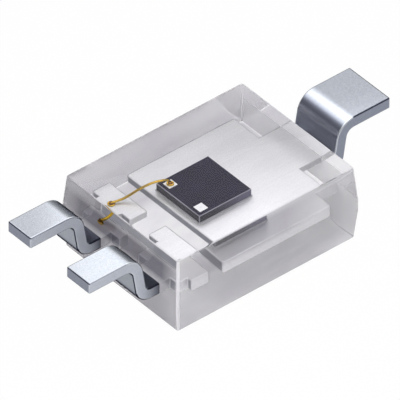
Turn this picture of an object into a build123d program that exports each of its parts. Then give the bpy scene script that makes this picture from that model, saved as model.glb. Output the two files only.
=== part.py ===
from build123d import *
import math
import os

# Clear surface-mount light sensor with reverse gull-wing leads, in millimetres.
# X runs along the body towards the wide lead, Y across it, Z up from the underside.
# The sensing side looks up, and the leads bend up to solder pads level with it.

os.makedirs("parts", exist_ok=True)

# Moulded body, measured at its top face
body_length = 2.50
body_width = 1.905
body_height = 0.98
draft_angle = 5.0
corner_radius = 0.03
rim_radius = 0.012

# Lead frame strip, and its depth below the body's top face
stock = 0.145
frame_depth = 0.45

# Die pad: the epoxy walls beside it and the gap to the anchor heads
pad_end_wall = 0.265
pad_side_wall = 0.1775
pad_head_gap = 0.214
pad_corner_radius = 0.035

# Anchor heads of the two narrow leads
head_end_wall = 0.25
head_length = 0.243
head_inner_wing = 0.1525
head_outer_wing = 0.1075
head_corner_radius = 0.018

# Lead widths, and the distance between the narrow leads' centres
wide_lead_width = 0.687
narrow_lead_width = 0.385
lead_pitch = 1.0

# Bent part of every lead, outside the body
knee_reach = 0.303
riser_lean = 9.0
pad_standoff = 0.065
solder_pad_length = 0.6
knee_inner_radius = 0.07
crown_inner_radius = 0.103
edge_break = 0.008

# Sensor chip, its adhesive and its coating
chip_side = 0.738
chip_thickness = 0.159
chip_pad_inset = 0.085
attach_thickness = 0.012
attach_squeeze_out = 0.014
filter_thickness = 0.01
filter_border = 0.012

# Bond pads on the chip
bond_pad_side = 0.12
bond_pad_inset = 0.05
bond_pad_thickness = 0.006

# Gold wire and its ball on the chip
wire_diameter = 0.03
ball_diameter = 0.086
ball_height = 0.03
ball_bevel = 0.011
neck_diameter = 0.05
neck_height = 0.018

# Stud bump on the wired lead
stud_diameter = 0.09
stud_height = 0.02
stud_bevel = 0.008
collar_diameter = 0.056
collar_top_diameter = 0.044
collar_height = 0.028
stud_inset = 0.018

# Loop of the wire: its rise over the ball, its crest over the chip and its landing height
# at the stud. The shares place the points between, along the span and up the crest.
wire_rise = 0.085
crest_rise = 0.14
landing_height = 0.032
loop_shares = ((0.25, 1.0), (0.50, 0.72), (0.75, 0.16), (0.90, 0.035))
arc_share = 0.45

# Heights of the lead frame, and the body's size at its belt and its underside
frame_top = body_height - frame_depth
frame_bottom = frame_top - stock
draft_slope = math.tan(math.radians(draft_angle))
belt_length = body_length + 2 * frame_depth * draft_slope
belt_width = body_width + 2 * frame_depth * draft_slope
base_length = belt_length - 2 * frame_bottom * draft_slope
base_width = belt_width - 2 * frame_bottom * draft_slope

# Places along X of the anchor heads and the die pad
head_start = -body_length / 2 + head_end_wall
head_end = head_start + head_length
pad_start = head_end + pad_head_gap
pad_end = body_length / 2 - pad_end_wall
pad_length = pad_end - pad_start
pad_width = body_width - 2 * pad_side_wall

# Heights of the chip stack, from the die pad up
chip_bottom = frame_top + attach_thickness
chip_top = chip_bottom + chip_thickness
filter_top = chip_top + filter_thickness
bond_pad_top = chip_top + bond_pad_thickness

# Places of the chip, its bond pads and the stud bump
chip_x = pad_start + chip_pad_inset + chip_side / 2
bond_pad_offset = chip_side / 2 - bond_pad_inset - bond_pad_side / 2
bond_pad_x = chip_x - bond_pad_offset
stud_x = head_start + stud_inset
stud_y = lead_pitch / 2

# Underside of the bent strip: the corner of the knee, and the corner at the solder pad
knee_x = belt_length / 2 + knee_reach
pad_underside = body_height + pad_standoff - stock
riser_rise = pad_underside - frame_bottom
crown_x = knee_x + riser_rise * math.tan(math.radians(riser_lean))
tip_x = crown_x + solder_pad_length


def bent_strip(side, lead_y, start_x):
    """Side view of a lead through its knee, riser and solder pad; side is 1 or -1 along X."""
    with BuildSketch(Plane.XZ.offset(-lead_y)) as side_view:
        with BuildLine():
            underside = FilletPolyline(
                (side * start_x, frame_bottom),
                (side * knee_x, frame_bottom),
                (side * crown_x, pad_underside),
                (side * tip_x, pad_underside),
                radius=[knee_inner_radius + stock, crown_inner_radius],
            )
            offset(
                underside,
                amount=stock,
                side=Side.LEFT if side > 0 else Side.RIGHT,
                mode=Mode.ADD,
            )
        make_face()
    return side_view.sketch


def head_plan(lead_side):
    """Plan of a narrow lead's anchor head and neck; lead_side is 1 or -1 along Y."""
    inner_y = lead_pitch / 2 - narrow_lead_width / 2 - head_inner_wing
    outer_y = lead_pitch / 2 + narrow_lead_width / 2 + head_outer_wing
    with BuildSketch(Plane.XY.offset(frame_bottom)) as plan:
        with Locations(((head_start + head_end) / 2, lead_side * (inner_y + outer_y) / 2)):
            Rectangle(head_length, outer_y - inner_y)
        fillet(plan.vertices(), head_corner_radius)
        with Locations((head_start + head_length / 2, lead_side * lead_pitch / 2)):
            Rectangle(
                belt_length / 2 + head_start + head_length / 2,
                narrow_lead_width,
                align=(Align.MAX, Align.CENTER),
            )
    return plan.sketch


def break_edges(lead):
    """Takes the sharpness off a lead's edges outside the body, as plating does."""
    outside = [edge for edge in lead.edges() if abs(edge.center().X) > belt_length / 2]
    chamfer(outside, edge_break)


# Die pad with the wide lead, one stamped and bent strip
with BuildPart() as die_pad_lead:
    with BuildSketch(Plane.XY.offset(frame_bottom)) as pad_plan:
        with Locations(((pad_start + pad_end) / 2, 0)):
            Rectangle(pad_length, pad_width)
        fillet(pad_plan.vertices(), pad_corner_radius)
        with Locations((pad_end - stock, 0)):
            Rectangle(
                belt_length / 2 - pad_end + stock,
                wide_lead_width,
                align=(Align.MIN, Align.CENTER),
            )
    extrude(amount=stock)
    extrude(bent_strip(1, 0, pad_end), amount=wide_lead_width / 2, both=True)
    break_edges(die_pad_lead)
die_pad_lead.part.label = "die_pad_lead"

# Lead that the wire is bonded to
with BuildPart() as wired_lead:
    extrude(head_plan(1), amount=stock)
    extrude(bent_strip(-1, lead_pitch / 2, -head_start), amount=narrow_lead_width / 2, both=True)
    break_edges(wired_lead)
wired_lead.part.label = "wired_lead"

# Lead with no wire, the mirror image of the other
with BuildPart() as spare_lead:
    extrude(head_plan(-1), amount=stock)
    extrude(bent_strip(-1, -lead_pitch / 2, -head_start), amount=narrow_lead_width / 2, both=True)
    break_edges(spare_lead)
spare_lead.part.label = "spare_lead"

# Conductive adhesive, squeezed out a little around the chip
with BuildPart() as die_attach:
    with BuildSketch(Plane.XY.offset(frame_top)):
        with Locations((chip_x, 0)):
            Rectangle(chip_side + 2 * attach_squeeze_out, chip_side + 2 * attach_squeeze_out)
    with BuildSketch(Plane.XY.offset(chip_bottom)):
        with Locations((chip_x, 0)):
            Rectangle(chip_side, chip_side)
    loft(ruled=True)
die_attach.part.label = "die_attach"

# Silicon die
with BuildPart() as sensor_chip:
    with BuildSketch(Plane.XY.offset(chip_bottom)):
        with Locations((chip_x, 0)):
            Rectangle(chip_side, chip_side)
    extrude(amount=chip_thickness)
sensor_chip.part.label = "sensor_chip"

# Dark coating over the die, inside its sawn border, with a window for each bond pad
with BuildPart() as chip_filter:
    with BuildSketch(Plane.XY.offset(chip_top)):
        with Locations((chip_x, 0)):
            Rectangle(chip_side - 2 * filter_border, chip_side - 2 * filter_border)
        with Locations((bond_pad_x, bond_pad_offset), (bond_pad_x, -bond_pad_offset)):
            Rectangle(bond_pad_side, bond_pad_side, mode=Mode.SUBTRACT)
    extrude(amount=filter_thickness)
chip_filter.part.label = "chip_filter"

# Metal pads on the die, the first of them under the wire's ball
with BuildPart() as wired_bond_pad:
    with BuildSketch(Plane.XY.offset(chip_top)):
        with Locations((bond_pad_x, bond_pad_offset)):
            Rectangle(bond_pad_side, bond_pad_side)
    extrude(amount=bond_pad_thickness)
wired_bond_pad.part.label = "wired_bond_pad"

with BuildPart() as spare_bond_pad:
    with BuildSketch(Plane.XY.offset(chip_top)):
        with Locations((bond_pad_x, -bond_pad_offset)):
            Rectangle(bond_pad_side, bond_pad_side)
    extrude(amount=bond_pad_thickness)
spare_bond_pad.part.label = "spare_bond_pad"

# Gold bump on the wired lead, with the raised collar that the wire ends in
with BuildPart() as stud_bump:
    with Locations((stud_x, stud_y, frame_top)):
        Cylinder(
            stud_diameter / 2,
            stud_height,
            align=(Align.CENTER, Align.CENTER, Align.MIN),
        )
    chamfer(stud_bump.edges().filter_by(GeomType.CIRCLE), stud_bevel)
    with Locations((stud_x, stud_y, frame_top + stud_height)):
        Cone(
            collar_diameter / 2,
            collar_top_diameter / 2,
            collar_height,
            align=(Align.CENTER, Align.CENTER, Align.MIN),
        )
    chamfer(stud_bump.edges().group_by(Axis.Z)[-1], stud_bevel)
stud_bump.part.label = "stud_bump"

# Upright plane through both ends of the wire, X along its span and Y up
ball_place = Vector(bond_pad_x, bond_pad_offset, 0)
stud_place = Vector(stud_x, stud_y, 0)
wire_span = (stud_place - ball_place).length
span_direction = (stud_place - ball_place).normalized()
loop_plane = Plane(
    origin=ball_place,
    x_dir=span_direction,
    z_dir=span_direction.cross(Vector(0, 0, 1)),
)


def loop_points():
    """Corners of the wire's loop in its plane, from inside the ball to inside the stud."""
    ball_top = bond_pad_top + ball_height
    landing = frame_top + landing_height
    crest = filter_top + crest_rise - landing
    points = [(0, bond_pad_top + ball_height / 2), (0, ball_top + wire_rise)]
    for along, up in loop_shares:
        points.append((along * wire_span, landing + up * crest))
    points.append((wire_span, landing))
    return points


def loop_radii(points):
    """One radius for each corner, as large as the shorter run beside it leaves room for."""
    radii = []
    for before, corner, after in zip(points, points[1:], points[2:]):
        run_in = Vector(*corner) - Vector(*before)
        run_out = Vector(*after) - Vector(*corner)
        half_turn = math.radians(run_in.get_angle(run_out)) / 2
        radii.append(arc_share * min(run_in.length, run_out.length) / math.tan(half_turn))
    return radii


# Gold wire with the ball it starts from, ending in the stud's collar
with BuildPart() as bond_wire:
    with Locations((bond_pad_x, bond_pad_offset, bond_pad_top)):
        Cylinder(
            ball_diameter / 2,
            ball_height,
            align=(Align.CENTER, Align.CENTER, Align.MIN),
        )
    chamfer(bond_wire.edges().filter_by(GeomType.CIRCLE), ball_bevel)
    with Locations((bond_pad_x, bond_pad_offset, bond_pad_top + ball_height)):
        Cone(
            neck_diameter / 2,
            wire_diameter / 2,
            neck_height,
            align=(Align.CENTER, Align.CENTER, Align.MIN),
        )
    with BuildLine(loop_plane) as loop:
        FilletPolyline(*loop_points(), radius=loop_radii(loop_points()))
    with BuildSketch(Plane(origin=loop.line @ 0, z_dir=loop.line % 0)):
        Circle(wire_diameter / 2)
    sweep()
    add(stud_bump.part, mode=Mode.SUBTRACT)
bond_wire.part.label = "bond_wire"

# Clear epoxy moulded around everything inside it
with BuildPart() as encapsulation:
    with BuildSketch(Plane.XY):
        RectangleRounded(base_length, base_width, corner_radius)
    with BuildSketch(Plane.XY.offset(frame_bottom)):
        RectangleRounded(belt_length, belt_width, corner_radius)
    loft(ruled=True)
    with BuildSketch(Plane.XY.offset(frame_bottom)):
        RectangleRounded(belt_length, belt_width, corner_radius)
    extrude(amount=stock)
    with BuildSketch(Plane.XY.offset(frame_top)):
        RectangleRounded(belt_length, belt_width, corner_radius)
    with BuildSketch(Plane.XY.offset(body_height)):
        RectangleRounded(body_length, body_width, corner_radius)
    loft(ruled=True)
    fillet(encapsulation.faces().sort_by(Axis.Z)[-1].edges(), rim_radius)
    fillet(encapsulation.faces().sort_by(Axis.Z)[0].edges(), rim_radius)
    for insert in (
        die_pad_lead,
        wired_lead,
        spare_lead,
        die_attach,
        sensor_chip,
        chip_filter,
        wired_bond_pad,
        spare_bond_pad,
        stud_bump,
        bond_wire,
    ):
        add(insert.part, mode=Mode.SUBTRACT)
encapsulation.part.label = "encapsulation"

export_step(encapsulation.part, "parts/encapsulation.step")
export_step(die_pad_lead.part, "parts/die_pad_lead.step")
export_step(wired_lead.part, "parts/wired_lead.step")
export_step(spare_lead.part, "parts/spare_lead.step")
export_step(die_attach.part, "parts/die_attach.step")
export_step(sensor_chip.part, "parts/sensor_chip.step")
export_step(chip_filter.part, "parts/chip_filter.step")
export_step(wired_bond_pad.part, "parts/wired_bond_pad.step")
export_step(spare_bond_pad.part, "parts/spare_bond_pad.step")
export_step(bond_wire.part, "parts/bond_wire.step")
export_step(stud_bump.part, "parts/stud_bump.step")
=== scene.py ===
import bpy
import bmesh
import math
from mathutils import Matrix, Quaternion, Vector


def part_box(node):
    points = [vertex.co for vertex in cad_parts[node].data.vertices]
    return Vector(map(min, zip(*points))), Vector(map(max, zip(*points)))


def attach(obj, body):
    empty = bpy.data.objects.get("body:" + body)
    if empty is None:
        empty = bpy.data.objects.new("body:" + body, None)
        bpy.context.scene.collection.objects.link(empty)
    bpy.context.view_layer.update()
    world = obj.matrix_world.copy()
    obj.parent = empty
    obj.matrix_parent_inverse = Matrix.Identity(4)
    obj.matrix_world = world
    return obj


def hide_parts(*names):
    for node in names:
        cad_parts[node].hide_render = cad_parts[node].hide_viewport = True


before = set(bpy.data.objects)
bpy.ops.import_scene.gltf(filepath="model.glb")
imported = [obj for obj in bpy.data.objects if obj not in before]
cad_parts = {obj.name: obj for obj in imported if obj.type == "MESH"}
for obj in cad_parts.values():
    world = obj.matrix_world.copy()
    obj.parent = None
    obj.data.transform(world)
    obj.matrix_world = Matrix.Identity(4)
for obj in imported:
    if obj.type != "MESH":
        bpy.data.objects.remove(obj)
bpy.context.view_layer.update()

# Camera. It looks down on the sensing side from beyond the narrow leads, through a long lens
# that keeps the body's parallel edges almost parallel.
mm = 0.001
view_heading = math.radians(230.22)
view_elevation = math.radians(39.63)
view_aim = Vector((-0.2071, -0.0775, 0.7390)) * mm
lens_length = 1650.0
film_width = 36.0
picture_width = 4.3516 * mm

camera_data = bpy.data.cameras.new("long_lens")
camera_data.lens = lens_length
camera_data.sensor_width = film_width
camera_data.clip_start = 0.01
camera_data.clip_end = 1.0
camera = bpy.data.objects.new("long_lens", camera_data)
bpy.context.collection.objects.link(camera)
towards_camera = Vector(
    (
        math.cos(view_elevation) * math.cos(view_heading),
        math.cos(view_elevation) * math.sin(view_heading),
        math.sin(view_elevation),
    )
)
camera.location = view_aim + towards_camera * picture_width * lens_length / film_width
camera.rotation_mode = "QUATERNION"
camera.rotation_quaternion = (-towards_camera).to_track_quat("-Z", "Y")
bpy.context.scene.camera = camera
bpy.context.scene.view_settings.view_transform = "Standard"

# Studio. A pale table stands under a dome of soft daylight, dim along the horizon and bright
# overhead, with one large soft box over the far end and a low fill lamp on the camera's side.
table_size = 120 * mm
table_gap = 0.02 * mm
table_colour = (0.72, 0.72, 0.72, 1.0)
white = (1.0, 1.0, 1.0, 1.0)
glow_shares = (("Is Camera Ray", 0.98), ("Is Glossy Ray", 0.3), ("Is Transmission Ray", 0.95))

horizon = (0.0, 0.24, 0.24, 0.26)
dome_greys = ((0.20, 0.30), (0.45, 0.48), (0.60, 0.66), (0.66, 0.72), (0.73, 1.1))
dome_blue = 1.03
overhead = (0.80, 1.3, 1.3, 1.3)

box_size = (4.4 * mm, 4 * mm)
box_energy = 0.00003
box_place = Vector((1.22, 0.32, 4.06)) * mm
box_aim = Vector((-0.49, -0.59, -0.64))
box_roll = math.radians(-12)
fill_size = (5 * mm, 1.6 * mm)
fill_energy = 0.00004
fill_place = Vector((-3.3, -3.1, 2.1)) * mm
fill_aim = Vector((0.66, 0.62, -0.42))


def new_material(name):
    """A node material with only its output, and its node tree."""
    material = bpy.data.materials.new(name)
    material.use_nodes = True
    material.node_tree.nodes.clear()
    output = material.node_tree.nodes.new("ShaderNodeOutputMaterial")
    return material, material.node_tree, output


def graded(tree, source, *stops):
    """A colour ramp over (place, red, green, blue) stops."""
    ramp = tree.nodes.new("ShaderNodeValToRGB")
    ends = ramp.color_ramp.elements
    for end, stop in ((ends[0], stops[0]), (ends[1], stops[-1])):
        end.position = stop[0]
        end.color = (*stop[1:], 1.0)
    for stop in stops[1:-1]:
        ends.new(stop[0]).color = (*stop[1:], 1.0)
    tree.links.new(source, ramp.inputs["Fac"])
    return ramp.outputs["Color"]


def hang_lamp(name, size, energy, place, aim, roll, seen):
    """A rectangular lamp, out of the camera's sight, that mirrors and glass may see or not."""
    data = bpy.data.lights.new(name, "AREA")
    data.shape = "RECTANGLE"
    data.size, data.size_y = size
    data.energy = energy
    lamp = bpy.data.objects.new(name, data)
    bpy.context.collection.objects.link(lamp)
    lamp.location = place
    lamp.rotation_mode = "QUATERNION"
    lamp.rotation_quaternion = Quaternion(aim, roll) @ aim.to_track_quat("-Z", "Y")
    lamp.visible_camera = False
    lamp.visible_glossy = seen
    lamp.visible_transmission = seen


table_finish, tree, output = new_material("pale_table")
light_path = tree.nodes.new("ShaderNodeLightPath")
share = None
for ray, part in glow_shares:
    weighed = tree.nodes.new("ShaderNodeMath")
    weighed.operation = "MULTIPLY_ADD"
    weighed.inputs[1].default_value = part
    weighed.inputs[2].default_value = 0.0
    tree.links.new(light_path.outputs[ray], weighed.inputs[0])
    if share is not None:
        tree.links.new(share.outputs[0], weighed.inputs[2])
    share = weighed
paper = tree.nodes.new("ShaderNodeBsdfDiffuse")
paper.inputs["Color"].default_value = table_colour
glow = tree.nodes.new("ShaderNodeEmission")
glow.inputs["Color"].default_value = white
glow.inputs["Strength"].default_value = 1.0
blend = tree.nodes.new("ShaderNodeMixShader")
tree.links.new(share.outputs[0], blend.inputs["Fac"])
tree.links.new(paper.outputs[0], blend.inputs[1])
tree.links.new(glow.outputs[0], blend.inputs[2])
tree.links.new(blend.outputs[0], output.inputs["Surface"])

table_mesh = bpy.data.meshes.new("table")
sheet = bmesh.new()
bmesh.ops.create_grid(sheet, x_segments=1, y_segments=1, size=table_size / 2)
bmesh.ops.translate(sheet, verts=sheet.verts, vec=(0, 0, -table_gap))
sheet.to_mesh(table_mesh)
sheet.free()
table_mesh.materials.append(table_finish)
table = bpy.data.objects.new("table", table_mesh)
bpy.context.collection.objects.link(table)

world = bpy.data.worlds.new("daylight_dome")
world.use_nodes = True
bpy.context.scene.world = world
tree = world.node_tree
tree.nodes.clear()
output = tree.nodes.new("ShaderNodeOutputWorld")
background = tree.nodes.new("ShaderNodeBackground")
direction = tree.nodes.new("ShaderNodeTexCoord")
height = tree.nodes.new("ShaderNodeSeparateXYZ")
tree.links.new(direction.outputs["Generated"], height.inputs[0])
stops = [(place, level, level, level * dome_blue) for place, level in dome_greys]
dome = graded(tree, height.outputs["Z"], horizon, *stops, overhead)
tree.links.new(dome, background.inputs["Color"])
tree.links.new(background.outputs[0], output.inputs["Surface"])

hang_lamp("soft_box", box_size, box_energy, box_place, box_aim, box_roll, seen=True)
hang_lamp("low_fill", fill_size, fill_energy, fill_place, fill_aim, 0.0, seen=False)

# Encapsulation. One block of clear cast epoxy, transfer moulded round the lead frame in a
# two-part mould, so that its sides lean in above and below the belt where the halves meet.
strip = 0.145 * mm
draft = math.tan(math.radians(5.0))
corner_radius = 0.03 * mm
rim_radius = 0.012 * mm
clearance = 0.0001 * mm
tolerance = 0.01 * mm
rounding_ratio = 4
wall_order = ("polished", "bottom", "lead_end", "gate_end", "long_side", "corner", "far_side")
facing = 0.9
corner_facing = (-0.98, -0.05)
corner_lean = 0.2

body_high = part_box("encapsulation")[1]
belt_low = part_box("die_pad_lead")[0].z
belt_high = belt_low + strip


def draw_out(shape, face, move, stretch=(1.0, 1.0)):
    """Extrudes one face, moves it, and stretches it about the upright axis."""
    face = bmesh.ops.extrude_discrete_faces(shape, faces=[face])["faces"][0]
    bmesh.ops.translate(shape, verts=face.verts, vec=move)
    bmesh.ops.scale(shape, verts=face.verts, vec=(stretch[0], stretch[1], 1.0))
    return face


def ease_edges(shape, edges, width, segments, profile=0.5):
    """Bevels these edges and returns the new faces."""
    return bmesh.ops.bevel(
        shape,
        geom=edges,
        offset=width,
        offset_type="OFFSET",
        segments=segments,
        profile=profile,
        affect="EDGES",
        material=-1,
    )["faces"]


def upright_edges(shape):
    """The edges that stand upright or nearly so."""
    return [e for e in shape.edges if abs(e.verts[0].co.z - e.verts[1].co.z) > clearance]


def place_piece(name, shape, finishes, nodes):
    """Makes the bmesh an object at the origin that stands for the CAD nodes and rides with them."""
    mesh = bpy.data.meshes.new(name)
    shape.to_mesh(mesh)
    shape.free()
    for finish in finishes:
        mesh.materials.append(finish)
    piece = bpy.data.objects.new(name, mesh)
    bpy.context.collection.objects.link(piece)
    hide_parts(*nodes)
    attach(piece, "root")


def shade_rounding(shape):
    """Shades the rounded edges smooth and keeps the broad faces beside them flat."""
    bmesh.ops.recalc_face_normals(shape, faces=shape.faces)
    for face in shape.faces:
        face.smooth = True
    for edge in shape.edges:
        small, large = sorted(face.calc_area() for face in edge.link_faces)
        edge.smooth = large < rounding_ratio * small


belt_half = Vector((body_high.x - clearance, body_high.y - clearance))
base_half = belt_half - Vector((1, 1)) * belt_low * draft
top_half = belt_half - Vector((1, 1)) * (body_high.z - belt_high) * draft

block = bmesh.new()
bmesh.ops.create_cube(block, size=2.0)
bmesh.ops.scale(block, verts=block.verts, vec=(base_half.x, base_half.y, belt_low / 2))
bmesh.ops.translate(block, verts=block.verts, vec=(0, 0, belt_low / 2))
face = max(block.faces, key=lambda f: f.calc_center_median().z)
grown = (belt_half.x / base_half.x, belt_half.y / base_half.y, 1.0)
bmesh.ops.scale(block, verts=face.verts, vec=grown)
face = draw_out(block, face, (0, 0, strip))
drawn_in = (top_half.x / belt_half.x, top_half.y / belt_half.y)
draw_out(block, face, (0, 0, body_high.z - belt_high), drawn_in)
ease_edges(block, upright_edges(block), corner_radius, segments=6)
rims = []
for edge in block.edges:
    heights = [v.co.z for v in edge.verts]
    if max(heights) < tolerance or min(heights) > body_high.z - tolerance:
        rims.append(edge)
ease_edges(block, rims, rim_radius, segments=3)
shade_rounding(block)

for face in block.faces:
    normal = face.normal
    in_corner = corner_facing[0] < normal.x < corner_facing[1] and normal.y < corner_facing[1]
    finish = "polished"
    if normal.z < -facing:
        finish = "bottom"
    elif in_corner and abs(normal.z) < corner_lean:
        finish = "corner"
    elif normal.x < -facing:
        finish = "lead_end"
    elif abs(normal.y) > facing:
        finish = "long_side" if normal.y < 0 else "far_side"
    elif normal.x > facing and face.calc_center_median().z < belt_high:
        finish = "gate_end"
    face.material_index = wall_order.index(finish)

streak_blotch = (0.7 * mm, 0.22 * mm, 0.3 * mm)
streak_turn = math.radians(15)
streak_stops = (0.35, 0.62)
# Where painted shade darkens the epoxy towards the far side, along Y.
far_shade_band = (0.4 * mm, 0.62 * mm)
epoxy_ior = 1.365
passed_light = (0.9, 0.9, 0.9, 1.0)


def noise_in(tree, blotch, turn=0.0, detail=2.0):
    """Noise in the piece's own space, with blotches of these lengths along its three axes."""
    place = tree.nodes.new("ShaderNodeTexCoord")
    spread = tree.nodes.new("ShaderNodeMapping")
    spread.vector_type = "TEXTURE"
    spread.inputs["Rotation"].default_value = (0.0, 0.0, turn)
    spread.inputs["Scale"].default_value = blotch
    noise = tree.nodes.new("ShaderNodeTexNoise")
    noise.inputs["Scale"].default_value = 1.0
    noise.inputs["Detail"].default_value = detail
    tree.links.new(place.outputs["Object"], spread.inputs["Vector"])
    tree.links.new(spread.outputs[0], noise.inputs["Vector"])
    return noise.outputs["Fac"]


def grey(place, level):
    """A neutral stop for a colour ramp."""
    return (place, level, level, level)


def multiplied(tree, first, second):
    """The product of two colours."""
    product = tree.nodes.new("ShaderNodeMix")
    product.data_type = "RGBA"
    product.blend_type = "MULTIPLY"
    product.inputs["Factor"].default_value = 1.0
    tree.links.new(first, product.inputs["A"])
    tree.links.new(second, product.inputs["B"])
    return product.outputs["Result"]


def tinted(tree, colour, share, tint):
    """The colour, which takes on a tint as the share grows from 0 to 1."""
    return multiplied(tree, colour, graded(tree, share, grey(0.0, 1.0), (1.0, *tint)))


def along_axis(tree, axis, start, end):
    """How far a point lies from start to end along one axis of the piece, from 0 to 1."""
    place = tree.nodes.new("ShaderNodeTexCoord")
    parts = tree.nodes.new("ShaderNodeSeparateXYZ")
    share = tree.nodes.new("ShaderNodeMapRange")
    share.inputs["From Min"].default_value = start
    share.inputs["From Max"].default_value = end
    tree.links.new(place.outputs["Object"], parts.inputs[0])
    tree.links.new(parts.outputs[axis], share.inputs["Value"])
    return share.outputs["Result"]


def cast_epoxy(name, thin, thick, transmission=1.0, roughness=0.0, shade_band=None, far_shade_tint=white[:3]):
    """Clear epoxy with flow streaks and perhaps a band of painted shade, which lets lamp and sky
    light in.
    """
    material, tree, output = new_material(name)
    streaks = noise_in(tree, streak_blotch, streak_turn)
    clear = tree.nodes.new("ShaderNodeBsdfPrincipled")
    tint = graded(tree, streaks, (streak_stops[0], *thick), (streak_stops[1], *thin))
    # Painted shade: the tint is darkened over a band set by height and by place along one axis.
    if shade_band:
        band_tint, rise, axis, half, width = shade_band
        climb = along_axis(tree, "Z", 0.0, body_high.z)
        reach = along_axis(tree, axis, -half, half)
        high_part = graded(tree, climb, *(grey(*stop) for stop in rise))
        wide_part = graded(tree, reach, *(grey(*stop) for stop in width))
        tint = tinted(tree, tint, multiplied(tree, high_part, wide_part), band_tint)
    # Painted shade: darker towards the far side by the far shade tint, which is white where none is
    # wanted.
    tint = tinted(tree, tint, along_axis(tree, "Y", *far_shade_band), far_shade_tint)
    tree.links.new(tint, clear.inputs["Base Color"])
    clear.inputs["Transmission Weight"].default_value = transmission
    clear.inputs["IOR"].default_value = epoxy_ior
    clear.inputs["Roughness"].default_value = roughness
    rays = tree.nodes.new("ShaderNodeLightPath")
    passed = tree.nodes.new("ShaderNodeBsdfTransparent")
    passed.inputs["Color"].default_value = passed_light
    surface = clear
    for kind in ("Is Shadow Ray", "Is Diffuse Ray"):
        choice = tree.nodes.new("ShaderNodeMixShader")
        tree.links.new(rays.outputs[kind], choice.inputs["Fac"])
        tree.links.new(surface.outputs[0], choice.inputs[1])
        tree.links.new(passed.outputs[0], choice.inputs[2])
        surface = choice
    tree.links.new(surface.outputs[0], output.inputs["Surface"])
    return material


bare_tint = (1.0, 0.99, 1.0)
pale_tint = (0.985, 0.975, 1.0)
clear_tint = (0.97, 0.955, 1.0)
lilac_tint = (0.93, 0.918, 0.955)
end_tint = (0.88, 0.865, 0.905)
cloudy_tint = (0.85, 0.83, 0.89)
shaded_tint = (0.54, 0.5319, 0.5562)
# Painted dark reflection on the lead end face: its tint is darkened in a band high up and across
# most of its width.
end_shade_tint = (0.15, 0.14, 0.175)
end_shade_rise = (
    (0.0, 0.45),
    (0.36, 0.45),
    (0.45, 0.15),
    (0.56, 0.15),
    (0.64, 1.0),
    (0.82, 1.0),
    (0.93, 0.0),
)
end_shade_width = ((0.0, 0.2), (0.14, 1.0), (0.84, 1.0), (0.97, 0.2))
end_shade_band = (end_shade_tint, end_shade_rise, "Y", body_high.y, end_shade_width)
# Painted shade on the near long side: its tint is darkened high up, most over the middle of its
# length.
side_shade_tint = (0.52, 0.51, 0.54)
side_shade_rise = ((0.0, 0.25), (0.6, 0.3), (0.66, 1.0), (0.92, 1.0), (0.99, 0.2))
side_shade_width = ((0.0, 0.5), (0.4, 0.9), (0.6, 1.0), (0.8, 0.05))
side_shade_band = (side_shade_tint, side_shade_rise, "X", body_high.x, side_shade_width)

polished = cast_epoxy("clear_epoxy", pale_tint, lilac_tint)
# The satin bottom takes painted shade towards its far side, by shaded_tint.
satin = cast_epoxy(
    "satin_epoxy", bare_tint, cloudy_tint, transmission=0.8, roughness=0.5, far_shade_tint=shaded_tint
)
frosted = cast_epoxy("frosted_epoxy", pale_tint, lilac_tint, transmission=0.3, roughness=0.4)
# The lead end face carries the painted dark reflection band.
lead_end = cast_epoxy("lead_end_epoxy", lilac_tint, end_tint, shade_band=end_shade_band)
far_side = cast_epoxy("far_side_epoxy", pale_tint, lilac_tint, transmission=0.85, roughness=0.15)
gate_end = cast_epoxy("gate_end_epoxy", bare_tint, clear_tint, transmission=0.5, roughness=0.2)
# The near long side carries the painted shade band.
long_side = cast_epoxy(
    "long_side_epoxy", pale_tint, clear_tint, transmission=0.85, roughness=0.08, shade_band=side_shade_band
)
epoxies = [polished, satin, lead_end, gate_end, long_side, frosted, far_side]
place_piece("encapsulation_block", block, epoxies, ["encapsulation"])

# Die pad and wide lead. Copper alloy strip, stamped in one piece and plated with matte silver;
# after moulding the lead outside is dipped in tin and bent up into a reverse gull wing.
pad_end = 0.985 * mm
wide_lead_half = 0.3435 * mm
pad_corner_radius = 0.035 * mm
edge_round = 0.014 * mm
knee_reach = 0.303 * mm
knee_inner_radius = 0.07 * mm
crown_inner_radius = 0.103 * mm
riser_turn = math.radians(81.0)
bend_steps = 14
band_width = 0.02 * mm
sharp_angle = math.radians(40)
strip_order = ("silver", "tin", "sheared_and_shaded", "flank")
barely = 0.01
slightly = 0.1
partly = 0.2
mostly = 0.6
squarely = 0.99
sheared_facing = 0.999
riser_facing = 0.98
under_facing = 0.4
far_rim_facing = (0.3, 0.5)
# Painted light and shade in the tin, silver and gold, from 0 for a painted highlight to 1 for
# painted dark shade: highlight and dark lines on rounded edges, shade at the lead roots, on the end
# faces, under the knees and in the hollow of each bend, with a painted gleam there.
painted_highlight_tone = 0.08
bright_tone = 0.1
side_tone = 0.25
middle_tone = 0.5
rim_tone = 0.9
painted_dark_tone = 0.95
wide_root_shade = 0.1 * mm
narrow_root_shade = 0.28 * mm
low_painted_light = 0.03
low_painted_light_depth = 0.2 * mm
tip_tone = 0.45
knee_shade = 0.85
knee_shade_end = 78
knee_shade_fade = 24
hollow_tone = 0.72
gleam = 0.4
gleam_turn = 30
gleam_half = 25


def start_block(x_range, y_range):
    """A new bmesh with one block of the strip's thickness at the lead frame's height."""
    shape = bmesh.new()
    bmesh.ops.create_cube(shape, size=1.0)
    size = (x_range[1] - x_range[0], y_range[1] - y_range[0], strip)
    centre = (sum(x_range) / 2, sum(y_range) / 2, (belt_low + belt_high) / 2)
    bmesh.ops.scale(shape, verts=shape.verts, vec=size)
    bmesh.ops.translate(shape, verts=shape.verts, vec=centre)
    return shape


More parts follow.
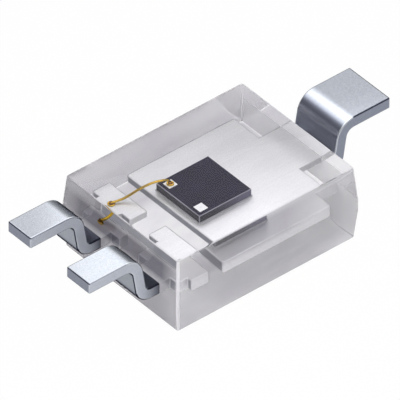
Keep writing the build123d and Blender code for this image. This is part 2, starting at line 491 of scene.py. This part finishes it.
def swing(shape, face, centre, axis):
    """Bends the strip on from one face, round an axis across it, through the riser's angle."""
    turned = bmesh.ops.spin(
        shape, geom=[face], cent=centre, axis=axis, angle=riser_turn, steps=bend_steps
    )["geom_last"]
    bmesh.ops.delete(shape, geom=[face], context="FACES_ONLY")
    return next(item for item in turned if isinstance(item, bmesh.types.BMFace))


def run_on(shape, face, move):
    """Draws out a straight run with a narrow band at each end, so that the bends shade evenly."""
    band = band_width / move.length
    for part in (band, 1 - 2 * band, band):
        face = draw_out(shape, face, move * part)
    return face


def bend_lead(shape, side, lead_y, tip):
    """Draws the strip out and bends it up and out again; returns where the solder pad starts."""
    knee_radius = knee_inner_radius + strip
    pad_under = tip.z - strip
    knee_corner = body_high.x + knee_reach
    crown_corner = knee_corner + (pad_under - belt_low) / math.tan(riser_turn)
    knee_start = knee_corner - knee_radius * math.tan(riser_turn / 2)
    crown_end = crown_corner + crown_inner_radius * math.tan(riser_turn / 2)
    riser = Vector((crown_corner - knee_corner, pad_under - belt_low))
    straight = riser.length - (knee_radius + crown_inner_radius) * math.tan(riser_turn / 2)

    ends = [f for f in shape.faces if abs(f.calc_center_median().y - lead_y) < tolerance]
    face = max(ends, key=lambda f: side * f.calc_center_median().x)
    leave = face.calc_center_median().x
    face = draw_out(shape, face, (side * body_high.x - leave, 0, 0))
    face = run_on(shape, face, Vector((side * (knee_start - body_high.x), 0, 0)))
    face = swing(shape, face, (side * knee_start, 0, belt_low + knee_radius), (0, -side, 0))
    climb = riser.normalized() * straight
    face = run_on(shape, face, Vector((side * climb.x, 0, climb.y)))
    face = swing(shape, face, (side * crown_end, 0, pad_under - crown_inner_radius), (0, side, 0))
    run_on(shape, face, Vector((side * (tip.x - crown_end), 0, 0)))
    return crown_end


def round_corners(shape, places, radius):
    """Rounds the upright edges of the stamped outline that stand at these places."""
    upright = []
    for edge in shape.edges:
        foot, head = (v.co.xy for v in edge.verts)
        if (foot - head).length > tolerance:
            continue
        if any((foot - Vector(place)).length < tolerance for place in places):
            upright.append(edge)
    ease_edges(shape, upright, radius, segments=6)


def clamped(value):
    """The value, held between 0 and 1."""
    return min(1.0, max(0.0, value))


def rounding_tone(face, side, before_pad):
    """The painted highlight or painted dark reflection line on a rounded edge of the tin, before
    the solder pad and round it.
    """
    normal = face.normal
    outward = side * normal.x
    if before_pad:
        shaded = outward > partly or normal.z < -partly or (side < 0 and outward < -mostly)
        low = side < 0 and face.calc_center_median().z < belt_high + edge_round
        return 1.0 if shaded or low else painted_highlight_tone
    if side > 0:
        lit = normal.z < slightly or (normal.y > -slightly and outward < slightly)
        return 0.0 if lit else painted_dark_tone
    if outward > slightly and slightly < normal.z < facing:
        return rim_tone
    return side_tone if normal.z > -under_facing else middle_tone


def flank_tone(place, side):
    """The painted shade on the strip's cut sides: painted dark where they leave the body, held at a
    middle shade on the wide lead, and a little lighter lower down on the narrow ones.
    """
    root_shade_length = wide_root_shade if side > 0 else narrow_root_shade
    root_shade = painted_dark_tone * max(0.0, 1 - (side * place.x - body_high.x) / root_shade_length)
    if side > 0:
        return max(root_shade, middle_tone)
    lowered = clamped((pad_high.z - strip - place.z) / low_painted_light_depth)
    return max(root_shade, bright_tone - low_painted_light * lowered)


def tone_at(corner, rounded, side, bends_end, crown_tones):
    """The painted light and shade on the tin at one corner of a face, from 0 for a painted
    highlight to 1 for painted dark shade.
    """
    face = corner.face
    place = corner.vert.co
    before_pad = side * place.x < bends_end
    if rounded:
        return rounding_tone(face, side, before_pad)
    if abs(face.normal.y) > facing:
        return flank_tone(place, side)
    outward = side * face.normal.x
    lean = side * corner.vert.normal.x
    upward = corner.vert.normal.z
    middle_height = face.calc_center_median().z
    # The solder pads' end faces take a painted shade.
    if outward > squarely and middle_height > belt_high:
        return bright_tone if before_pad else tip_tone
    # Painted shade under the knee, growing as the face turns down.
    if face.normal.z < 0:
        under = knee_shade_end - math.degrees(math.atan2(lean, -upward))
        return bright_tone + (knee_shade * clamped(under / knee_shade_fade) if before_pad else 0)
    if outward > barely:
        return bright_tone
    turn = math.degrees(math.atan2(max(0.0, -lean), upward))
    # Painted shade in the hollow of the bend, with a painted gleam across it.
    if middle_height < (belt_low + pad_high.z) / 2 - strip and outward > -riser_facing:
        return hollow_tone - gleam * max(0.0, 1 - abs(turn - gleam_turn) / gleam_half)
    # Painted reflections across the crown, by how far the face has turned.
    for (start, first), (end, last) in zip(crown_tones, crown_tones[1:]):
        if turn <= end:
            return first + (last - first) * max(0.0, turn - start) / (end - start)
    return crown_tones[-1][1]


def soften_edges(shape, side, bends_end, crown_tones):
    """Takes the sharpness off the strip's edges, gives the part outside the body its tin, and
    writes the tone attribute that carries painted light and shade.
    """
    sharp = [e for e in shape.edges if e.calc_face_angle(0.0) > sharp_angle]
    made = set(ease_edges(shape, sharp, edge_round, segments=4))
    shade_rounding(shape)
    shape.normal_update()
    tone = shape.loops.layers.float.new("tone")
    for face in shape.faces:
        normal = face.normal
        rounded = face in made
        inside = abs(face.calc_center_median().x) < body_high.x
        finish = "silver"
        if not inside:
            finish = "flank" if side < 0 and abs(normal.y) > facing and not rounded else "tin"
        # Cut sides facing along X take the darker sheared finish, which is partly painted shade set
        # by their direction.
        elif abs(normal.x) > sheared_facing and not rounded:
            finish = "sheared_and_shaded"
        face.material_index = strip_order.index(finish)
        # Painted shade: the silver's far rounded rims are painted dark as thin lines.
        far_rim = rounded and normal.y > far_rim_facing[0] and normal.z > far_rim_facing[1]
        for corner in face.loops:
            if inside:
                corner[tone] = rim_tone if far_rim else 0.0
            else:
                corner[tone] = tone_at(corner, rounded, side, bends_end, crown_tones)


pad_low, pad_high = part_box("die_pad_lead")
pad_shape = start_block((pad_low.x, pad_end), (-wide_lead_half, wide_lead_half))
for side in (-1, 1):
    flank = max(pad_shape.faces, key=lambda f: side * f.calc_center_median().y)
    draw_out(pad_shape, flank, (0, side * (pad_high.y - wide_lead_half), 0))
# Painted reflections across the wide lead's bend: painted darkness by turn in degrees, darkest near
# 45 to 51 degrees with a lighter streak near 66.
wide_tones = (
    (0, 0.19),
    (12, 0.14),
    (24, 0.21),
    (34, 0.42),
    (45, 0.72),
    (51, 0.76),
    (59, 0.42),
    (66, 0.34),
    (75, 0.55),
    (82, 0.46),
)
pad_start = bend_lead(pad_shape, 1, 0, pad_high)
round_corners(
    pad_shape,
    [(x, y) for x in (pad_low.x, pad_end) for y in (pad_low.y, pad_high.y)],
    pad_corner_radius,
)
soften_edges(pad_shape, 1, pad_start, wide_tones)

grain_blotch = (0.014 * mm, 0.014 * mm, 0.014 * mm)
grain_greys = ((0.3, 0.87, 0.87, 0.88), grey(0.7, 1.03))
rolled_blotch = (1.2 * mm, 0.03 * mm, 0.3 * mm)
rolled_greys = ((0.3, 0.965, 0.965, 0.97), grey(0.7, 1.0))
grazing_tint = (0.0, 0.0, 0.02, 1.0)


def plated(name, lightest, bright, middle, dark, metallic, roughness, shade_fades=()):
    """Plated metal with fine grain, with painted light and shade from its tone attribute, and
    painted shade that darkens it towards each fade's end.
    """
    material, tree, output = new_material(name)
    tone = tree.nodes.new("ShaderNodeAttribute")
    tone.attribute_name = "tone"
    tones = ((0.0, *lightest), (bright_tone, *bright), (middle_tone, *middle), (1.0, *dark))
    colour = graded(tree, tone.outputs["Fac"], *tones)
    grain = noise_in(tree, grain_blotch, detail=3.0)
    speckle = graded(tree, grain, *grain_greys)
    lines = graded(tree, noise_in(tree, rolled_blotch), *rolled_greys)
    metal = tree.nodes.new("ShaderNodeBsdfPrincipled")
    worked = multiplied(tree, multiplied(tree, colour, speckle), lines)
    for axis, start, end, left in shade_fades:
        worked = tinted(tree, worked, along_axis(tree, axis, start, end), (left, left, left))
    tree.links.new(worked, metal.inputs["Base Color"])
    metal.inputs["Metallic"].default_value = metallic
    metal.inputs["Specular Tint"].default_value = grazing_tint
    matte = graded(tree, grain, grey(0.3, roughness[0]), grey(0.7, roughness[1]))
    tree.links.new(matte, metal.inputs["Roughness"])
    tree.links.new(metal.outputs[0], output.inputs["Surface"])
    return material


silver = plated(
    "matte_silver",
    (0.99, 0.99, 0.99),
    (0.98, 0.98, 0.98),
    (0.6, 0.6, 0.62),
    (0.2, 0.2, 0.22),
    metallic=0.85,
    roughness=(0.4, 0.44),
    # Painted shade: the silver darkens towards the far side and towards the wide lead.
    shade_fades=(("Y", -0.6 * mm, 0.5 * mm, 0.8), ("X", 0.2 * mm, 1.0 * mm, 0.85)),
)
tin = plated(
    "tin_plating",
    (0.90, 0.93, 0.96),
    (0.76, 0.80, 0.85),
    (0.36, 0.385, 0.46),
    (0.04, 0.042, 0.07),
    metallic=1.0,
    roughness=(0.2, 0.25),
)
# A darker copy of the silver for the stamped cut sides that face along X: partly the sheared edge,
# partly painted shade, since the cut sides along Y stay silver.
sheared_and_shaded = plated(
    "sheared_and_shaded_edge",
    (0.50, 0.51, 0.54),
    (0.46, 0.47, 0.50),
    (0.35, 0.35, 0.37),
    (0.1, 0.1, 0.11),
    metallic=1.0,
    roughness=(0.3, 0.42),
)
# A less metallic copy of the tin, only for the narrow leads' cut sides outside the body, coloured
# so that these sides read evenly lit: partly painted light.
flank_tin = plated(
    "flank_tin",
    (0.96, 0.97, 1.0),
    (0.54, 0.57, 0.63),
    (0.40, 0.42, 0.47),
    (0.05, 0.052, 0.08),
    metallic=0.2,
    roughness=(0.3, 0.36),
)
lead_finishes = [silver, tin, sheared_and_shaded, flank_tin]

place_piece("die_pad_strip", pad_shape, lead_finishes, ["die_pad_lead"])

# Narrow leads. The same strip, each with a T-shaped head that anchors it in the epoxy; the
# silver-plated head of the wired one takes the wire's stud bump.
head_end = -0.757 * mm
head_start = -1.0 * mm
narrow_lead_half = 0.1925 * mm
narrow_lead_line = 0.5 * mm
head_corner_radius = 0.018 * mm
# Painted reflections across the narrow leads' bends: painted darkness by turn in degrees, growing
# dark from 36 degrees on.
narrow_tones = ((0, 0.1), (18, 0.1), (36, 0.15), (46, 0.6), (55, 0.95), (82, 0.8))

for node, name in (("wired_lead", "wired_lead_strip"), ("spare_lead", "spare_lead_strip")):
    low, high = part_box(node)
    centre_y = narrow_lead_line if high.y > 0 else -narrow_lead_line
    lead_shape = start_block(
        (head_start, head_end), (centre_y - narrow_lead_half, centre_y + narrow_lead_half)
    )
    for side, edge_y in ((-1, low.y), (1, high.y)):
        flank = max(lead_shape.faces, key=lambda f: side * f.calc_center_median().y)
        draw_out(lead_shape, flank, (0, edge_y - flank.calc_center_median().y, 0))
    pad_start = bend_lead(lead_shape, -1, centre_y, Vector((-low.x, 0, high.z)))
    round_corners(
        lead_shape,
        [(x, y) for x in (head_start, head_end) for y in (low.y, high.y)],
        head_corner_radius,
    )
    soften_edges(lead_shape, -1, pad_start, narrow_tones)
    place_piece(name, lead_shape, lead_finishes, [node])

# Adhesive. Silver-filled epoxy dispensed on the pad, pressed out under the chip into a small
# grey fillet and cured hard.
fillet_radius = 0.018 * mm
fillet_height = 0.011 * mm
fillet_profile = 0.25
flake_blotch = (0.008 * mm, 0.008 * mm, 0.004 * mm)
flake_greys = ((0.35, 0.30, 0.30, 0.31), (0.55, 0.5, 0.5, 0.52), (0.7, 0.8, 0.8, 0.82))


def box_block(node):
    """A new bmesh with one block as large as a CAD node."""
    low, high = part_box(node)
    shape = bmesh.new()
    bmesh.ops.create_cube(shape, size=1.0)
    bmesh.ops.scale(shape, verts=shape.verts, vec=high - low)
    bmesh.ops.translate(shape, verts=shape.verts, vec=(low + high) / 2)
    return shape


def top_edges(shape):
    """The edges round the top."""
    top = max(v.co.z for v in shape.verts) - clearance
    return [e for e in shape.edges if all(v.co.z > top for v in e.verts)]


paste_shape = box_block("die_attach")
ease_edges(paste_shape, upright_edges(paste_shape), fillet_radius, segments=4)
ease_edges(paste_shape, top_edges(paste_shape), fillet_height, 4, fillet_profile)
shade_rounding(paste_shape)

adhesive, tree, output = new_material("silver_adhesive")
paste = tree.nodes.new("ShaderNodeBsdfPrincipled")
flakes = graded(tree, noise_in(tree, flake_blotch, detail=4.0), *flake_greys)
tree.links.new(flakes, paste.inputs["Base Color"])
paste.inputs["Metallic"].default_value = 0.4
paste.inputs["Roughness"].default_value = 0.6
tree.links.new(paste.outputs[0], output.inputs["Surface"])
place_piece("adhesive_fillet", paste_shape, [adhesive], ["die_attach"])

# Chip. A square of silicon sawn from its wafer, dark grey, with fine saw lines along its sides
# and a bare, brighter border round the coating; its eased edges take the same brighter silicon
# as a painted highlight.
chip_ease = 0.007 * mm
border_and_edge_highlight_index = 1
saw_lines = (0.3 * mm, 0.3 * mm, 0.006 * mm)
painted_light_along_x = (-0.25 * mm, 0.25 * mm, 6.0)
stone_stops = (0.35, 0.65)

chip_shape = box_block("sensor_chip")
outer_edges = upright_edges(chip_shape) + top_edges(chip_shape)
eased = ease_edges(chip_shape, outer_edges, chip_ease, segments=2)
# Painted highlight: the eased edges, the upright corners too, take the brighter silicon.
for face in chip_shape.faces:
    if face in eased or face.normal.z > facing:
        face.material_index = border_and_edge_highlight_index
shade_rounding(chip_shape)


def stone(name, dark, pale, blotch, roughness, ior, lit=None):
    """A dense dark solid that varies softly between two colours, and may take painted light that
    grows along X.
    """
    material, tree, output = new_material(name)
    solid = tree.nodes.new("ShaderNodeBsdfPrincipled")
    mottle = noise_in(tree, blotch, detail=3.0)
    colour = graded(tree, mottle, (stone_stops[0], *dark), (stone_stops[1], *pale))
    # Painted light: the colour is raised along X, by up to the gain.
    if lit:
        start, end, gain = lit
        colour = tinted(tree, colour, along_axis(tree, "X", start, end), (gain, gain, gain))
    tree.links.new(colour, solid.inputs["Base Color"])
    solid.inputs["Roughness"].default_value = roughness
    solid.inputs["IOR"].default_value = ior
    tree.links.new(solid.outputs[0], output.inputs["Surface"])
    return material


sawn = stone(
    "sawn_silicon",
    (0.014, 0.013, 0.022),
    (0.034, 0.032, 0.048),
    saw_lines,
    roughness=0.4,
    ior=1.12,
    lit=painted_light_along_x,
)
border_and_edge_highlight = stone(
    "bare_silicon_and_edge_highlight", (0.26, 0.255, 0.31), (0.36, 0.35, 0.42), saw_lines, roughness=0.4, ior=1.4
)
place_piece("chip_block", chip_shape, [sawn, border_and_edge_highlight], ["sensor_chip"])

# Filter. The dark coating that gives the sensor the eye's response, laid over the silicon with
# a window for each bond pad.
film_blotch = (0.25 * mm, 0.25 * mm, 0.05 * mm)
film_low, film_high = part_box("chip_filter")
windows = [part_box(node) for node in ("wired_bond_pad", "spare_bond_pad")]
film_shape = bmesh.new()
bmesh.ops.create_grid(film_shape, x_segments=1, y_segments=1, size=0.5)
film_size = film_high - film_low
bmesh.ops.scale(film_shape, verts=film_shape.verts, vec=(film_size.x, film_size.y, 1.0))
film_middle = (film_low + film_high) / 2
film_place = (film_middle.x, film_middle.y, film_low.z)
bmesh.ops.translate(film_shape, verts=film_shape.verts, vec=film_place)
for low, high in windows:
    for corner in (low, high):
        for across in ((1, 0, 0), (0, 1, 0)):
            everything = film_shape.verts[:] + film_shape.edges[:] + film_shape.faces[:]
            bmesh.ops.bisect_plane(
                film_shape, geom=everything, dist=clearance, plane_co=corner, plane_no=across
            )
open_faces = []
for face in film_shape.faces:
    middle = face.calc_center_median()
    if any(low.x < middle.x < high.x and low.y < middle.y < high.y for low, high in windows):
        open_faces.append(face)
bmesh.ops.delete(film_shape, geom=open_faces, context="FACES")
raised = bmesh.ops.extrude_face_region(film_shape, geom=film_shape.faces[:])["geom"]
raised = [item for item in raised if isinstance(item, bmesh.types.BMVert)]
bmesh.ops.translate(film_shape, verts=raised, vec=(0, 0, film_size.z))
bmesh.ops.recalc_face_normals(film_shape, faces=film_shape.faces)

coating = stone(
    "filter_coating",
    (0.010, 0.008, 0.026),
    (0.015, 0.012, 0.036),
    film_blotch,
    roughness=0.3,
    ior=1.12,
)
place_piece("filter_film", film_shape, [coating], ["chip_filter"])

# Bond pads. Bright aluminium squares in the coating's windows, sputtered and finely crystalline,
# the spare one with the small scrub mark that the test probe left.
pad_ease = 0.003 * mm
scrub_length = 0.05 * mm
scrub_width = 0.02 * mm
scrub_turn = math.radians(35)
scrub_greys = ((0.3, 0.9, 0.9, 0.92), grey(0.6, 1.0))
crystal_blotch = (0.006 * mm, 0.006 * mm, 0.006 * mm)
crystal_greys = ((0.3, 0.9, 0.9, 0.91), grey(0.7, 0.98))

aluminium, tree, output = new_material("bond_pad_aluminium")
bright = tree.nodes.new("ShaderNodeBsdfPrincipled")
crystals = graded(tree, noise_in(tree, crystal_blotch), *crystal_greys)
place = tree.nodes.new("ShaderNodeTexCoord")
spot = tree.nodes.new("ShaderNodeMapping")
spot.vector_type = "TEXTURE"
low, high = windows[1]
spot.inputs["Location"].default_value = ((low.x + high.x) / 2, (low.y + high.y) / 2, high.z)
spot.inputs["Rotation"].default_value = (0.0, 0.0, scrub_turn)
spot.inputs["Scale"].default_value = (scrub_length, scrub_width, scrub_width)
tree.links.new(place.outputs["Object"], spot.inputs["Vector"])
reach = tree.nodes.new("ShaderNodeVectorMath")
reach.operation = "LENGTH"
tree.links.new(spot.outputs[0], reach.inputs[0])
scrub = graded(tree, reach.outputs["Value"], *scrub_greys)
tree.links.new(multiplied(tree, crystals, scrub), bright.inputs["Base Color"])
bright.inputs["Metallic"].default_value = 0.2
bright.inputs["Roughness"].default_value = 0.5
tree.links.new(bright.outputs[0], output.inputs["Surface"])
for node, name in (("wired_bond_pad", "wired_pad_square"), ("spare_bond_pad", "spare_pad_square")):
    square = box_block(node)
    ease_edges(square, top_edges(square), pad_ease, segments=2)
    shade_rounding(square)
    place_piece(name, square, [aluminium], [node])

# Wire and its ball. Fine drawn gold: its melted end was pressed on the chip's pad as a flat
# ball with the tool's ring round its neck, and the wire was looped over and down to the lead.
wire_radius = 0.017 * mm
ball_steps = (
    (0.036, 0),
    (0.043, 0.006),
    (0.043, 0.02),
    (0.039, 0.028),
    (0.032, 0.03),
    (0.027, 0.025),
)
neck_steps = ((0.024, 0.03), (0.019, 0.038), (0.0152, 0.048))
ball_ring = 0.028
loop_heights = (
    (0.0, 0.722),
    (0.0, 0.822),
    (0.25, 0.851),
    (0.5, 0.7701),
    (0.75, 0.6082),
    (0.9, 0.5721),
    (1.0, 0.562),
)


def turned(steps, ring, place):
    """A round piece drawn up through (radius, height) steps in mm, with painted shade within its
    ring.
    """
    shape = bmesh.new()
    bmesh.ops.create_circle(shape, cap_ends=True, radius=steps[0][0] * mm, segments=32)
    tone = shape.loops.layers.float.new("tone")
    face = shape.faces[:][0]
    for (radius, height), (next_radius, next_height) in zip(steps, steps[1:]):
        grown = (next_radius / radius, next_radius / radius)
        face = draw_out(shape, face, (0, 0, (next_height - height) * mm), grown)
    rim = [e for e in shape.edges if e.is_boundary]
    bmesh.ops.holes_fill(shape, edges=rim, sides=0)
    bmesh.ops.recalc_face_normals(shape, faces=shape.faces)
    for face in shape.faces:
        face.smooth = True
        for corner in face.loops:
            # Painted shade: the top within the ring is toned dark.
            inner = corner.vert.co.xy.length < ring * mm
            corner[tone] = 1.0 if inner and corner.vert.co.z > steps[1][1] * mm else 0.0
    bmesh.ops.translate(shape, verts=shape.verts, vec=place)
    return shape


# The gold's dark stop serves as the painted shade within the rings.
gold = plated(
    "gold",
    (1.0, 0.66, 0.06),
    (0.96, 0.60, 0.05),
    (0.42, 0.20, 0.02),
    (0.30, 0.12, 0.0),
    metallic=1.0,
    roughness=(0.10, 0.14),
)
low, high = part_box("wired_bond_pad")
ball_place = Vector(((low.x + high.x) / 2, (low.y + high.y) / 2, high.z))
ball_shape = turned(ball_steps + neck_steps, ball_ring, ball_place)
place_piece("ball_bond", ball_shape, [gold], ["bond_wire"])

stud_low, stud_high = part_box("stud_bump")
stud_middle = (stud_low + stud_high) / 2
stud_place = Vector((stud_middle.x, stud_middle.y, stud_low.z))
loop_curve = bpy.data.curves.new("wire_loop", "CURVE")
loop_curve.dimensions = "3D"
loop_curve.bevel_depth = wire_radius
loop_curve.bevel_resolution = 4
loop_curve.resolution_u = 10
loop_curve.use_fill_caps = True
strand = loop_curve.splines.new("NURBS")
strand.points.add(len(loop_heights) - 1)
for point, (share, height) in zip(strand.points, loop_heights):
    along = ball_place.lerp(stud_place, share)
    point.co = (along.x, along.y, height * mm, 1.0)
strand.order_u = 3
strand.use_endpoint_u = True
drawn_gold = plated(
    "drawn_gold",
    (0.78, 0.50, 0.05),
    (0.72, 0.46, 0.04),
    (0.40, 0.20, 0.02),
    (0.10, 0.04, 0.008),
    metallic=1.0,
    roughness=(0.08, 0.14),
)
loop_curve.materials.append(drawn_gold)
wire = bpy.data.objects.new("wire_loop", loop_curve)
bpy.context.collection.objects.link(wire)
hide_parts("bond_wire")
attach(wire, "root")

# Stud bump. A gold ball pressed on the silver-plated head, with a raised collar into which the
# wire's end was stitched.
stud_steps = (
    (0.037, 0),
    (0.045, 0.006),
    (0.045, 0.013),
    (0.040, 0.02),
    (0.033, 0.02),
    (0.028, 0.017),
)
collar_steps = ((0.0265, 0.03), (0.025, 0.042), (0.022, 0.048), (0.012, 0.044))
stud_ring = 0.029

stud_shape = turned(stud_steps + collar_steps, stud_ring, stud_place)
place_piece("stud_bond", stud_shape, [gold], ["stud_bump"])
